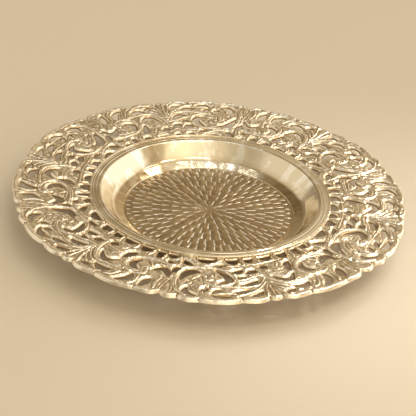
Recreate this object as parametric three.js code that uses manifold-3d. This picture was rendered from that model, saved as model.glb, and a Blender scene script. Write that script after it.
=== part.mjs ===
import * as THREE from 'three';
import { mergeVertices } from 'three/addons/utils/BufferGeometryUtils.js';
import Module from 'manifold-3d';

// Filigree platter: a plain dish raised from sheet, with a broad openwork border of cast
// sections set end to end under its flange. Millimetres, +Z up. The origin is the middle of
// the plane that the foot stands on. Angles are degrees, counted from +X towards +Y.

// Dish: a flat medallion, a gently rising band round it, a steep wall and a level flange.
// Widths run between the sharp corners of the profile, before they are rounded.
const sheetThickness = 1;
const bowlDepth = 16.4;
const medallionRadius = 65.4;
const bandWidth = 8.9;
const bandRise = 3.6;
const bandRounding = 4;
const wallWidth = 9.9;
const mouthRounding = 2.5;
const flangeWidth = 8.3;
const chasedLineWidth = 0.9;
const chasedLineDepth = 0.35;

// Foot ring, just inside the medallion's edge
const footHeight = 4;
const footInset = 2.4;
const footWidth = 3.2;
const footTopWidth = 2;

// Wire over the joint of flange and border
const wireRadius = 0.75;
const wireInset = 0.6;

// Openwork border
const sectionCount = 6;
const firstSectionAngle = 50;
const borderWidth = 57.5;
const rimRise = 4.5;
const webThickness = 1.7;
const tongueClearance = 3.8;
const landWidth = 0.9;
const scrollHeight = 1.3;
const scrollSink = 0.5;
const rimBeadWidth = 4;
const rimBeadInset = 2.5;
const eyeletFullness = 0.5;
const crescentFullness = 0.75;
const lobeFullness = 0.7;
const endOverrun = 1;
const wedgeReach = 3;

// Room for solder between neighbours
const solderGap = 0.3;

// Facets
const mergeDistance = 1e-4;
const turnSteps = 60;
const roundingSteps = 3;
const lobeStep = 2.6;
const openingSteps = 4;
const smallOpeningSteps = 3;
const smallOpening = 6.4;
const eyeletSteps = 4;

// Finishes: colour and roughness
const dishFinish = { color: 0xc2b28c, roughness: 0.22 };
const wireFinish = { color: 0xcdbf9c, roughness: 0.25 };
const footFinish = { color: 0xb5a582, roughness: 0.35 };
const borderFinish = { color: 0xb3a37d, roughness: 0.32 };

const floorZ = footHeight + sheetThickness;
const flangeTopZ = floorZ + bowlDepth;
const bandRadius = medallionRadius + bandWidth;
const mouthRadius = bandRadius + wallWidth;
const flangeRadius = mouthRadius + flangeWidth;
const rimRadius = flangeRadius + borderWidth;
const halfSection = 180 / sectionCount;

// The ornament is drawn on a half section of 30 degrees and in percent of the border's width,
// 0 at the flange and 100 at the mean rim. Widths are in percent too.
const drawnHalfAngle = 30;

// The scalloped rim: where each notch lies, how far it is off the mean rim, and how far the
// lobe that follows it swells. The rim goes on with the first entry of the next section.
const rimLobes = [
  { at: -31.3, notch: -7.3, crest: 0.3 },
  { at: -26.3, notch: -3.1, crest: 3.1 },
  { at: -20.6, notch: 0.7, crest: 3.5 },
  { at: -9.3, notch: -1, crest: 1.7 },
  { at: -1.8, notch: -4.5, crest: -0.9 },
  { at: 2, notch: -5.7, crest: 0.7 },
  { at: 10.2, notch: -2.3, crest: 1.9 },
  { at: 22, notch: -0.3, crest: 0.7 },
];

// Crescent openings: start, middle and end, each as angle and percent, and the greatest width.
// The opening that lies across the joint of two sections is there once for each of them.
const crescents = [
  { path: [24.4, 68, 23.6, 79, 22.8, 90], width: 9 },
  { path: [18.4, 68, 18.4, 81, 15.4, 91], width: 8.7 },
  { path: [12.2, 74, 10, 80, 6.8, 75], width: 8.3 },
  { path: [6.6, 82, 5.4, 85, 3.6, 86], width: 4.5 },
  { path: [11, 48, 7.5, 60, 3.4, 47], width: 6.6 },
  { path: [18.8, 55, 15.8, 47, 17.4, 33], width: 7.7 },
  { path: [28.8, 55, 26.6, 41, 22.8, 51], width: 9 },
  { path: [13.7, 22, 11.8, 30, 10.9, 43], width: 8.3 },
  { path: [4.4, 23, 2.8, 24, 1.2, 23], width: 8.7 },
  { path: [31.4, 29, 30.3, 35, 29.6, 44], width: 7 },
  { path: [-28.6, 29, -29.7, 35, -30.4, 44], width: 7 },
  { path: [28.4, 23, 27.4, 21, 26.2, 18], width: 5.2 },
  { path: [-12, 14, -14, 17.5, -16.6, 17], width: 4.9 },
  { path: [-24.2, 18, -26.2, 16, -28.2, 9], width: 7.3 },
  { path: [-1.2, 29, -2.8, 33, -4.8, 35], width: 8 },
  { path: [-5.8, 26, -7.8, 31, -9.8, 31], width: 7.3 },
  { path: [-2.4, 53, -4.8, 60.5, -8, 61], width: 6.6 },
  { path: [-5.6, 43, -7, 45, -8.4, 43], width: 5.2 },
  { path: [-2.8, 79, -4.2, 85, -6.4, 87.5], width: 5.9 },
  { path: [-6.2, 73, -8.4, 78.5, -11, 80], width: 7.3 },
  { path: [-12.2, 87, -14.8, 89.5, -17.4, 85], width: 6.3 },
  { path: [-14.6, 73, -15.8, 77, -17, 80], width: 5.9 },
  { path: [-18.4, 72, -19.4, 75, -20.4, 79], width: 5.6 },
  { path: [-21.4, 89, -24.4, 84, -24.4, 72], width: 7.3 },
  { path: [-21, 35, -25, 37, -27.2, 57], width: 10.8 },
  { path: [-14.8, 57, -11.4, 48, -15.4, 29], width: 8.3 },
];

// Arched openings along the flange: first and last angle, and height in percent.
const eyelets = [
  { from: 24.9, to: 28.4, height: 8 },
  { from: 20, to: 22.8, height: 15 },
  { from: 12.2, to: 16.8, height: 11 },
  { from: 3.2, to: 9.2, height: 8 },
  { from: -3.2, to: 0.4, height: 9 },
  { from: -10.6, to: -6, height: 11 },
  { from: -22.8, to: -15.6, height: 9 },
];

// Raised scrolls: the points that they pass through, as angle and percent, and the width at
// the start and at the end.
const scrolls = [
  { path: [-0.8, 62, -3.2, 72, -6, 80.5, -10.5, 88.5], start: 2.8, end: 3.8 },
  {
    path: [-24.4, 91, -27.4, 81, -28.6, 64, -28.4, 48, -26.8, 32, -21.4, 25, -15.6, 24,
      -11.4, 32, -9.6, 46, -11.2, 60, -15.2, 65, -18.8, 60, -19.4, 49],
    start: 3.5, end: 3.1,
  },
  {
    path: [29.6, 30, 24, 25.5, 18.4, 26, 14.6, 34, 13.4, 48, 14.8, 60, 18.4, 66.5, 21.6, 62,
      21.4, 53],
    start: 5.2, end: 3.1,
  },
  { path: [15, 66, 10.4, 68.5, 5.8, 67.5, 2.6, 57, 0.8, 42, 0.2, 30], start: 3.1, end: 5.9 },
  { path: [11.6, 15, 0, 17.5, -11, 19.5], start: 2.8, end: 2.8 },
  { path: [0.6, 44, -3.4, 46, -6, 51.5, -8.6, 53], start: 4.5, end: 2.8 },
  { path: [0.6, 54, 1.6, 74, 2.8, 88], start: 3.1, end: 4.2 },
  { path: [0, 56, 0, 74, -0.2, 90], start: 2.8, end: 4.2 },
  { path: [-0.4, 64, -1.4, 76, -1.8, 87], start: 2.4, end: 3.5 },
];

const wasm = await Module();
wasm.setup();

const radians = THREE.MathUtils.degToRad;
const mix = THREE.MathUtils.lerp;

// Closed geometry to solid, and back.
function toSolid(geometry) {
  const bare = geometry.clone();
  bare.deleteAttribute('normal');
  bare.deleteAttribute('uv');
  const merged = mergeVertices(bare, mergeDistance);
  return new wasm.Manifold(new wasm.Mesh({
    numProp: 3,
    vertProperties: new Float32Array(merged.attributes.position.array),
    triVerts: new Uint32Array(merged.index.array),
  }));
}

function toGeometry(solid) {
  const mesh = solid.getMesh();
  const geometry = new THREE.BufferGeometry();
  geometry.setAttribute('position', new THREE.BufferAttribute(mesh.vertProperties, mesh.numProp));
  geometry.setIndex(new THREE.BufferAttribute(mesh.triVerts, 1));
  return geometry;
}

// An outline raised from one height to another.
function prism(shape, from, to) {
  const geometry = new THREE.ExtrudeGeometry(shape, { depth: to - from, bevelEnabled: false });
  return toSolid(geometry.translate(0, 0, from));
}

// A profile of [radius, height] pairs turned round the upright axis.
function turned(profile) {
  const points = profile.map(([radius, height]) => new THREE.Vector2(radius, height));
  return new THREE.LatheGeometry(points, turnSteps).rotateX(Math.PI / 2);
}

// Points of an arc round a centre, from one angle to another.
function arc(centre, radius, from, to) {
  const points = [];
  for (let i = 0; i <= roundingSteps; i += 1) {
    const angle = mix(from, to, i / roundingSteps);
    points.push([centre[0] + radius * Math.cos(angle), centre[1] + radius * Math.sin(angle)]);
  }
  return points;
}

// Direction of the line from one point to the next, as an angle.
function heading(from, to) {
  return Math.atan2(to[1] - from[1], to[0] - from[0]);
}

// A profile's corner, rounded to an arc. Side is 1 where the line from before to after turns
// left at the corner, and -1 where it turns right.
function rounded(before, corner, after, radius) {
  const first = heading(before, corner);
  const second = heading(corner, after);
  const side = Math.sign(second - first);
  const middle = (first + second) / 2 + side * Math.PI / 2;
  const reach = radius / Math.cos((second - first) / 2);
  const centre = [corner[0] + reach * Math.cos(middle), corner[1] + reach * Math.sin(middle)];
  return arc(centre, radius, first - side * Math.PI / 2, second - side * Math.PI / 2);
}

// A profile's corners moved to the other side of the sheet.
function underside(corners) {
  return corners.map((corner, i) => {
    const first = heading(corners[Math.max(i - 1, 0)], corners[Math.max(i, 1)]);
    const last = corners.length - 1;
    const second = heading(corners[Math.min(i, last - 1)], corners[Math.min(i + 1, last)]);
    const down = (first + second) / 2 - Math.PI / 2;
    const reach = sheetThickness / Math.cos((second - first) / 2);
    return [corner[0] + reach * Math.cos(down), corner[1] + reach * Math.sin(down)];
  });
}

// The dish, as one sheet: along the underside, over the flange's edge, and back on top.
function centreDish() {
  const top = [
    [0, floorZ],
    [medallionRadius, floorZ],
    [bandRadius, floorZ + bandRise],
    [mouthRadius, flangeTopZ],
    [flangeRadius, flangeTopZ],
  ];
  const below = underside(top);
  const bandSlope = bandRise / (bandRadius - medallionRadius);
  const chasedLine = [
    [medallionRadius + chasedLineWidth, floorZ + bandSlope * chasedLineWidth],
    [medallionRadius + chasedLineWidth / 2, floorZ - chasedLineDepth],
    [medallionRadius - chasedLineWidth / 2, floorZ],
  ];
  return turned([
    below[0],
    below[1],
    ...rounded(below[1], below[2], below[3], bandRounding + sheetThickness),
    ...rounded(below[2], below[3], below[4], mouthRounding - sheetThickness),
    below[4],
    top[4],
    ...rounded(top[2], top[3], top[4], mouthRounding).reverse(),
    ...rounded(top[1], top[2], top[3], bandRounding).reverse(),
    ...chasedLine,
    top[0],
  ]);
}

// The foot ring widens downwards.
function footRing() {
  const outer = medallionRadius - footInset;
  const inner = outer - footWidth;
  const topInner = (outer + inner - footTopWidth) / 2;
  return turned([
    [inner, 0],
    [outer, 0],
    [topInner + footTopWidth, footHeight],
    [topInner, footHeight],
    [inner, 0],
  ]);
}

// Half-round wire, flat side down on the flange.
function flangeWire() {
  const crown = arc([flangeRadius - wireInset, flangeTopZ], wireRadius, 0, Math.PI);
  return turned([...crown, crown[0]]);
}

// Height of the border's web at a radius: level under the flange, rising outwards beyond it.
function dishing(radius) {
  return Math.max(0, (radius - flangeRadius) / borderWidth) * rimRise;
}

// A drawn width or distance in millimetres.
function percentWide(percent) {
  return percent / 100 * borderWidth;
}

function sectionAngle(drawn) {
  return radians(drawn / drawnHalfAngle * halfSection);
}

// The lobes of this section and the first ones of the next.
const lobesOnward = [
  ...rimLobes,
  ...rimLobes.slice(0, 2).map((lobe) => ({ ...lobe, at: lobe.at + 2 * drawnHalfAngle })),
];

// Radius of the scalloped rim at a drawn angle.
function rimAt(drawn) {
  const next = lobesOnward.findIndex((lobe) => lobe.at > drawn);
  const lobe = lobesOnward[next - 1];
  const after = lobesOnward[next];
  const share = (drawn - lobe.at) / (after.at - lobe.at);
  const base = mix(lobe.notch, after.notch, share);
  const swell = (lobe.crest - base) * Math.sin(Math.PI * share) ** lobeFullness;
  return rimRadius + percentWide(base + swell);
}

// Drawn angles along the rim, from one end of a section to the other, with each notch hit.
function rimAngles() {
  const angles = [-drawnHalfAngle];
  for (const { at } of lobesOnward.slice(1)) {
    const from = angles[angles.length - 1];
    const to = Math.min(at, drawnHalfAngle);
    const steps = Math.max(1, Math.round((to - from) / lobeStep));
    for (let k = 1; k <= steps; k += 1) angles.push(mix(from, to, k / steps));
  }
  return angles;
}

function circlePoint(drawn, radius) {
  const angle = sectionAngle(drawn);
  return new THREE.Vector2(radius * Math.cos(angle), radius * Math.sin(angle));
}

function borderPoint(drawn, percent) {
  return circlePoint(drawn, flangeRadius + percentWide(percent));
}

function sectionOutline() {
  const innerRadius = mouthRadius + tongueClearance;
  const outer = rimAngles().map((drawn) => circlePoint(drawn, rimAt(drawn)));
  const innerSteps = Math.round(turnSteps / sectionCount);
  const inner = [];
  for (let i = 0; i <= innerSteps; i += 1) {
    inner.push(circlePoint(mix(drawnHalfAngle, -drawnHalfAngle, i / innerSteps), innerRadius));
  }
  return new THREE.Shape([...outer, ...inner]);
}

// The wedge that a section is kept to: its sides lie half a solder gap inside the planes
// between neighbours, and it ends far outside the rim.
function wedge() {
  const half = radians(halfSection);
  const tip = new THREE.Vector2(solderGap / 2 / Math.sin(half), 0);
  const reach = wedgeReach * rimRadius;
  const side = new THREE.Vector2(reach * Math.cos(half), reach * Math.sin(half));
  return new THREE.Shape([tip, new THREE.Vector2(tip.x + side.x, -side.y), tip.clone().add(side)]);
}

// Crescent: a curved centre line through three points, swelling from nothing to its width.
function crescentShape({ path, width }) {
  const start = borderPoint(path[0], path[1]);
  const middle = borderPoint(path[2], path[3]);
  const end = borderPoint(path[4], path[5]);
  const pull = middle.multiplyScalar(2).sub(start.clone().add(end).divideScalar(2));
  const line = new THREE.QuadraticBezierCurve(start, pull, end);
  const steps = width > smallOpening ? openingSteps : smallOpeningSteps;
  const left = [];
  const right = [];
  for (let i = 1; i < steps; i += 1) {
    const share = i / steps;
    const point = line.getPoint(share);
    const along = line.getTangent(share);
    const half = percentWide(width) / 2 * Math.sin(Math.PI * share) ** crescentFullness;
    left.push(new THREE.Vector2(point.x - along.y * half, point.y + along.x * half));
    right.unshift(new THREE.Vector2(point.x + along.y * half, point.y - along.x * half));
  }
  return new THREE.Shape([start, ...left, end, ...right]);
}

// Arched opening: straight along the flange, round towards the rim.
function eyeletShape({ from, to, height }) {
  const base = landWidth / borderWidth * 100;
  const points = [];
  const swell = (share) => Math.sin(Math.PI * share) ** eyeletFullness;
  for (let i = 0; i <= eyeletSteps; i += 1) {
    const share = i / eyeletSteps;
    points.push(borderPoint(mix(from, to, share), base + height * swell(share)));
  }
  return new THREE.Shape(points);
}

// A raised scroll: a ridge with a sharp crown, lofted along a smooth line and drawn to a
// blunt end.
function scrollRidge({ path, start, end }) {
  const knots = [];
  for (let i = 0; i < path.length; i += 2) {
    const flat = borderPoint(path[i], path[i + 1]);
    knots.push(new THREE.Vector3(flat.x, flat.y, 0));
  }
  const line = new THREE.CatmullRomCurve3(knots);
  return ridge(line, knots.length - 1, percentWide(start), percentWide(end));
}

function ridge(line, steps, startWidth, endWidth) {
  const position = [];
  const index = [];
  for (let i = 0; i <= steps; i += 1) {
    const share = i / steps;
    const point = line.getPoint(share);
    const along = line.getTangent(share);
    const half = mix(startWidth, endWidth, share) / 2;
    position.push(point.x - along.y * half, point.y + along.x * half, -scrollSink);
    position.push(point.x + along.y * half, point.y - along.x * half, -scrollSink);
    position.push(point.x, point.y, scrollHeight);
  }
  for (let i = 0; i < steps; i += 1) {
    const a = 3 * i;
    const b = a + 3;
    for (let k = 0; k < 3; k += 1) {
      const n = (k + 1) % 3;
      index.push(a + k, b + n, a + n);
      index.push(a + k, b + k, b + n);
    }
  }
  const last = 3 * steps;
  index.push(0, 1, 2);
  index.push(last, last + 2, last + 1);
  const geometry = new THREE.BufferGeometry();
  geometry.setAttribute('position', new THREE.Float32BufferAttribute(position, 3));
  geometry.setIndex(index);
  return geometry;
}

// The bead that stiffens the scalloped edge.
function rimBead() {
  const from = -drawnHalfAngle - endOverrun;
  const to = drawnHalfAngle + endOverrun;
  const knots = [from, ...rimAngles(), to].map((drawn) => {
    const flat = circlePoint(drawn, rimAt(drawn) - rimBeadInset);
    return new THREE.Vector3(flat.x, flat.y, 0);
  });
  return ridge(new THREE.CatmullRomCurve3(knots), knots.length - 1, rimBeadWidth, rimBeadWidth);
}

// One cast section, its fan along +X: a pierced web with raised scrolls, then dished.
function borderSection() {
  let solid = prism(sectionOutline(), -webThickness, 0);
  for (const scroll of scrolls) solid = solid.add(toSolid(scrollRidge(scroll)));
  solid = solid.add(toSolid(rimBead()));
  const reach = webThickness + scrollHeight;
  for (const shape of [...crescents.map(crescentShape), ...eyelets.map(eyeletShape)]) {
    solid = solid.subtract(prism(shape, -reach, reach));
  }
  solid = solid.intersect(prism(wedge(), -reach, reach));
  const geometry = toGeometry(solid);
  const position = geometry.attributes.position;
  const seat = flangeTopZ - sheetThickness - solderGap;
  for (let i = 0; i < position.count; i += 1) {
    const radius = Math.hypot(position.getX(i), position.getY(i));
    position.setZ(i, position.getZ(i) + seat + dishing(radius));
  }
  return geometry;
}

function piece(name, geometry, finish) {
  const material = new THREE.MeshStandardMaterial({ ...finish, metalness: 1 });
  const mesh = new THREE.Mesh(geometry, material);
  mesh.name = name;
  return mesh;
}

const group = new THREE.Group();
group.add(piece('centre_dish', centreDish(), dishFinish));
group.add(piece('flange_wire', flangeWire(), wireFinish));
group.add(piece('foot_ring', footRing(), footFinish));

const section = borderSection();
for (let i = 0; i < sectionCount; i += 1) {
  const mesh = piece(`border_section_${i + 1}`, section, borderFinish);
  mesh.rotation.z = radians(firstSectionAngle + i * 360 / sectionCount);
  group.add(mesh);
}

export default group;
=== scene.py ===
import math

import bmesh
import bpy
import numpy as np
from mathutils import Matrix, Vector
from mathutils.geometry import delaunay_2d_cdt


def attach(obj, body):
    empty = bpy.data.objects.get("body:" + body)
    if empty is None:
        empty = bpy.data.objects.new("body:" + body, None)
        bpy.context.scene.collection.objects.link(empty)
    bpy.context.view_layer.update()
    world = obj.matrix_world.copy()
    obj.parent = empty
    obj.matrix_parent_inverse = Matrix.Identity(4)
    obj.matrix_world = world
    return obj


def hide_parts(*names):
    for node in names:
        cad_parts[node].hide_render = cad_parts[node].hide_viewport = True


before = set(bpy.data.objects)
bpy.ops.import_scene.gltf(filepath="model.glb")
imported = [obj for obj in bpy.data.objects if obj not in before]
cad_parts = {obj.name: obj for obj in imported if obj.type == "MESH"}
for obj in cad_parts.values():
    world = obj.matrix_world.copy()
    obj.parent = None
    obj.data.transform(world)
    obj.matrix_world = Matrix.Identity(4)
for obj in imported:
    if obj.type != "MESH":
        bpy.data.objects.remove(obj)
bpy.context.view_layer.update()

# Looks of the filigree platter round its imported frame. Lengths are millimetres until a mesh
# is made from them; the scene itself is in metres, +Z up. Angles are degrees.

MM = 0.001

# Sizes shared with the solids. The border's angles are counted from a section's middle, and
# LAND is what stands between the flange and the eyelets.
FLOOR_Z = 5.0
FLANGE_Z = 21.4
SHEET = 1.0
MEDALLION_R = 65.4
BAND_R = 74.3
BAND_Z = 8.6
MOUTH_R = 84.2
FLANGE_R = 92.5
RIM_R = 150.0
RIM_RISE = 4.5
BORDER_WIDTH = RIM_R - FLANGE_R
SEAT_Z = 20.1
WEB = 1.7
TONGUE = 4.5
LAND = 0.9
SECTIONS = 6
SECTION_ANGLE = 360 / SECTIONS
FIRST_ANGLE = 50.0
FOOT_INSET = 2.4

# Dish: corners of its underside, and how far its corners are rounded
BELOW_MOUTH_R = 84.81
BELOW_BAND_R = 75.1
BELOW_BAND_Z = BAND_Z - SHEET - 0.22
BELOW_FLOOR_R = 65.78
BAND_ROUND = 9.0
MOUTH_ROUND = 2.5
BELOW_MOUTH_ROUND = 1.5
BELOW_BAND_ROUND = 5.0
EDGE_BEVEL = 0.2
MIDDLE_RING = 30.0
DISH_SEGMENTS = 240
BAND_STEPS = 12
LONGEST_RUN = 2.0
# The chased line round the medallion: distance out of its edge, and height over the floor
CHASED_LINE = [(-0.45, 0.0), (-0.2, 0.08), (0.0, -0.3), (0.5, -0.1), (0.9, 0.36)]
# Fine turned lines on the flange: radius, half width and depth
FLANGE_LINES = [(87.25, 0.25, 0.2), (89.8, 0.2, 0.12)]

# Wire: how far its middle lies inside the flange's edge, half width and height of a bead,
# and the points over it
WIRE_INSET = 0.6
BEAD_HALF = 0.37
BEAD_HEIGHT = 0.62
BEAD_POINTS = 7

# Foot ring: corners as distance from its outer edge and height, and their rounding
FOOT_CORNERS = [(-3.2, 0.0), (0.0, 0.0), (-0.6, 4.0), (-2.6, 4.0)]
FOOT_ROUNDS = (0.5, 0.7, 0.2, 0.2)

# Border relief, as heights over the web: at the openings' edges, at the rim and between them,
# the width over which it rises from an edge, and how near the rim its own values hold
EDGE = -1.25
RIM_EDGE = -1.62
PILLOW = 0.45
PILLOW_WIDTH = 2.7
RIM_WIDTH = 2.1
RIM_ZONE = (3.6, 1.2)
# What is raised over that: its share, how it fades out at an edge, and the highest point
RAISED = 0.56
FADE_WIDTH = 1.2
TOP = 1.24
# A paired stroke's two ridges, and its middle between them, as shares of its height
PAIR_RIDGE = 0.85
PAIR_MIDDLE = 0.35
# A leaf's ribs, as share of its height, distance apart and slant, and how wide its ends are
LEAF_RIB = 0.12
LEAF_RIB_PITCH = 2.2
LEAF_RIB_SLANT = 0.8
LEAF_END = 0.35
# The valley beside a stroke, the finer lines that follow it, and the veins
VALLEY = 0.26
VALLEY_MIDDLE = 0.35
VALLEY_HALF = 0.6
LINE_PITCH = 1.9
LINE_DEPTH = 0.12
LINE_FADE = 3.0
VEIN_HALF = 0.45
VEIN_DEPTH = 0.2
# The groove round a bead, and the height of relief that leaves no room for grooves
BEAD_GROOVE = 0.5
BEAD_GROOVE_MIDDLE = 0.2
BEAD_GROOVE_HALF = 0.35
FILLED = 0.25
# The ridge along the rim's lobes, and the crease in from each notch
LOBE_MIDDLE = 2.0
LOBE_HALF = 1.5
LOBE_END = 3.5
LOBE_HEIGHT = 0.75
NOTCH_DEPTH = 0.7
NOTCH_HALF = 0.9
NOTCH_REACH = 7.0
# How full the rim's lobes, the crescents and the eyelets are: 1 is a sine's arch
LOBE_POWER = 0.7
CRESCENT_POWER = 0.75
EYELET_POWER = 0.5
# The castings' unevenness, and the share of it that waves of half the size have
BUMP_SIZE = 2.6
BUMP_HEIGHT = 0.25
BUMP_CELLS = 97
FINE_BUMPS = 0.35
# How far from them openings and strokes are worked out
OPENING_REACH = 6.0
STROKE_REACH = 4.0
# The mesh's grid by angle and radius, and how near a cut point may lie to its nodes
SEAM = 0.03
GRID_ANGLES = 301
GRID_STEP = 0.4
GRID_PAST_RIM = 2.6
CUT_MARGIN = 0.04

# Tarnish with painted shade along the openings' edges but not the rim's, and how dark, as tarnish
# with painted shade, a recess's depth makes it
EDGE_TARNISH_AND_SHADE = 0.34
EDGE_TARNISH_AND_SHADE_WIDTH = 0.7
TARNISH_AND_SHADE_AT_CUT = 0.36
OPENING_MARGIN = 0.01
AT_RIM = 0.3
DARKENING = 2.4

# The scalloped rim: angle of each notch, its radius past the mean rim, and that of the lobe
# after it
RIM_LOBES = [
    (-31.3, -4.2, 0.2),
    (-26.3, -1.8, 1.8),
    (-20.6, 0.4, 2),
    (-9.3, -0.6, 1),
    (-1.8, -2.6, -0.5),
    (2, -3.3, 0.4),
    (10.2, -1.3, 1.1),
    (22, -0.2, 0.4),
]
# Crescent openings: start, middle and end of their middle line as angles and percents of the
# border's width, and their own width
CRESCENTS = [
    ((24.4, 68, 23.6, 79, 22.8, 90), 5.2),
    ((18.4, 68, 18.4, 81, 15.4, 91), 5),
    ((12.2, 74, 10, 80, 6.8, 75), 4.8),
    ((6.6, 82, 5.4, 85, 3.6, 86), 2.6),
    ((11, 48, 7.5, 60, 3.4, 47), 3.8),
    ((18.8, 55, 15.8, 47, 17.4, 33), 4.4),
    ((28.8, 55, 26.6, 41, 22.8, 51), 5.2),
    ((13.7, 22, 11.8, 30, 10.9, 43), 4.8),
    ((4.4, 23, 2.8, 24, 1.2, 23), 5),
    ((31.4, 29, 30.3, 35, 29.6, 44), 4),
    ((-28.6, 29, -29.7, 35, -30.4, 44), 4),
    ((28.4, 23, 27.4, 21, 26.2, 18), 3),
    ((-12, 14, -14, 17.5, -16.6, 17), 2.8),
    ((-24.2, 18, -26.2, 16, -28.2, 9), 4.2),
    ((-1.2, 29, -2.8, 33, -4.8, 35), 4.6),
    ((-5.8, 26, -7.8, 31, -9.8, 31), 4.2),
    ((-2.4, 53, -4.8, 60.5, -8, 61), 3.8),
    ((-5.6, 43, -7, 45, -8.4, 43), 3),
    ((-2.8, 79, -4.2, 85, -6.4, 87.5), 3.4),
    ((-6.2, 73, -8.4, 78.5, -11, 80), 4.2),
    ((-12.2, 87, -14.8, 89.5, -17.4, 85), 3.6),
    ((-14.6, 73, -15.8, 77, -17, 80), 3.4),
    ((-18.4, 72, -19.4, 75, -20.4, 79), 3.2),
    ((-21.4, 89, -24.4, 84, -24.4, 72), 4.2),
    ((-21, 35, -25, 37, -27.2, 57), 6.2),
    ((-14.8, 57, -11.4, 48, -15.4, 29), 4.8),
]
# Eyelets along the flange: first and last angle, and height in percent
EYELETS = [
    (24.9, 28.4, 8),
    (20, 22.8, 15),
    (12.2, 16.8, 11),
    (3.2, 9.2, 8),
    (-3.2, 0.4, 9),
    (-10.6, -6, 11),
    (-22.8, -15.6, 9),
]

# Raised strokes: points passed through, width at start and end, kind and height
STROKES = [
    ((-0.8, 62, -3.2, 72, -6, 80.5, -10.5, 88.5), 1.8, 2.6, "pair", 0.8),
    (
        (-24.4, 91, -27.4, 81, -28.6, 64, -28.4, 48, -26.8, 32, -21.4, 25, -15.6, 24)
        + (-11.4, 32, -9.6, 46, -11.2, 60, -15.2, 65, -18.8, 60, -19.4, 49),
        3.2, 2.4, "pair", 0.85,
    ),
    (
        (29.6, 30, 24, 25.5, 18.4, 26, 14.6, 34, 13.4, 48, 14.8, 60, 18.4, 66.5)
        + (21.6, 62, 21.4, 53),
        3.4, 2.4, "pair", 0.85,
    ),
    ((15, 66, 10.4, 68.5, 5.8, 67.5, 2.6, 57, 0.8, 42, 0.2, 30), 2, 3.4, "pair", 0.8),
    ((11.6, 15, 0, 17.5, -11, 19.5), 1.8, 1.8, "round", 0.3),
    ((0.6, 44, -3.4, 46, -6, 51.5, -8.6, 53), 2.6, 1.8, "round", 0.7),
    ((0.6, 54, 1.6, 74, 2.8, 88), 1.6, 2.6, "round", 0.6),
    ((0, 56, 0, 74, -0.2, 93), 1.4, 2.4, "round", 0.7),
    ((-0.4, 64, -1.4, 76, -1.8, 87), 1.3, 2.2, "round", 0.6),
    ((0, 52, -3, 66, -8, 69, -12.5, 68, -17, 67), 1.6, 1.8, "round", 0.6),
    ((11, 88, 8, 94, 4.5, 92), 3.2, 4.6, "leaf", 0.75),
    ((29, 97, 28.5, 85, 29.2, 70, 30, 58), 1.5, 1.3, "round", 0.35),
    ((-29, 97, -28.5, 85, -29.2, 70, -30, 58), 1.5, 1.3, "round", 0.35),
    ((-13, 12, -16, 14), 2.2, 1.4, "round", 0.5),
    ((27.5, 62, 26.5, 75, 26.8, 90), 2.6, 3.4, "leaf", 0.75),
    ((21, 70, 20.9, 85, 19.5, 95), 2, 3.2, "leaf", 0.75),
    ((15.5, 72, 14, 85, 12, 90), 2, 3, "leaf", 0.75),
    ((-17, 45, -17.6, 40, -19.4, 38), 3.4, 1.6, "leaf", 0.75),
    ((-16.6, 52, -18.2, 54, -19.6, 51), 3, 1.8, "leaf", 0.8),
    ((22.6, 42, 21.6, 37, 20.6, 32), 1.6, 3.8, "leaf", 0.5),
    ((9, 18.5, 8.4, 23, 7.4, 28), 2.4, 3, "leaf", 0.65),
    ((1, 58, 3, 68, 5.4, 74.5), 1.4, 2.4, "round", 0.55),
    ((1.2, 66, 3, 76, 4.6, 81), 1.2, 2, "round", 0.5),
    ((27.2, 38, 24.8, 33, 20.8, 30, 17.2, 31), 1.4, 1.4, "round", 0.55),
    ((30.5, 7, 29, 14, 26.6, 16.5), 3, 3.4, "leaf", 0.65),
    ((23.8, 3, 23.9, 12, 23.4, 20), 2, 2.8, "leaf", 0.6),
    ((18.5, 3, 18.4, 12, 17.6, 19), 2.2, 3, "leaf", 0.65),
    ((10.7, 3, 10.9, 10, 10.4, 17), 2.4, 3.2, "leaf", 0.65),
    ((1.8, 3, 1.9, 9, 2.6, 15), 2, 2.6, "leaf", 0.6),
    ((-4.7, 3, -4.5, 10, -4, 16), 2.2, 2.8, "leaf", 0.6),
    ((-12.8, 4, -16, 12.8, -19.5, 18.5, -23, 22), 2.2, 3, "pair", 0.65),
    ((-29.7, 4, -29.5, 14, -28.9, 24), 2.4, 3, "leaf", 0.6),
    ((-21, 45, -22.6, 50, -23.6, 56), 1.6, 2.6, "leaf", 0.65),
    ((-22.6, 70, -21.4, 76, -19.8, 84), 1.6, 2.6, "leaf", 0.65),
    ((-9.6, 84, -13, 82.5, -17, 84.5), 2, 1.6, "round", 0.6),
    ((-9.4, 38, -8.4, 44, -9.4, 49), 1.8, 1.4, "leaf", 0.55),
    ((-12.6, 96, -10, 99, -7, 96), 2.2, 1.6, "round", 0.6),
    ((-25.8, 97, -23, 98, -20.5, 95.5), 2.6, 1.8, "round", 0.65),
]
# Sunk veins: points passed through
VEINS = [
    (10.6, 43, 7, 45, 2.6, 43),
    (10.2, 37, 6.6, 38.5, 2.2, 37.5),
    (9.6, 31.5, 6.4, 32, 2.4, 31.5),
]
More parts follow.
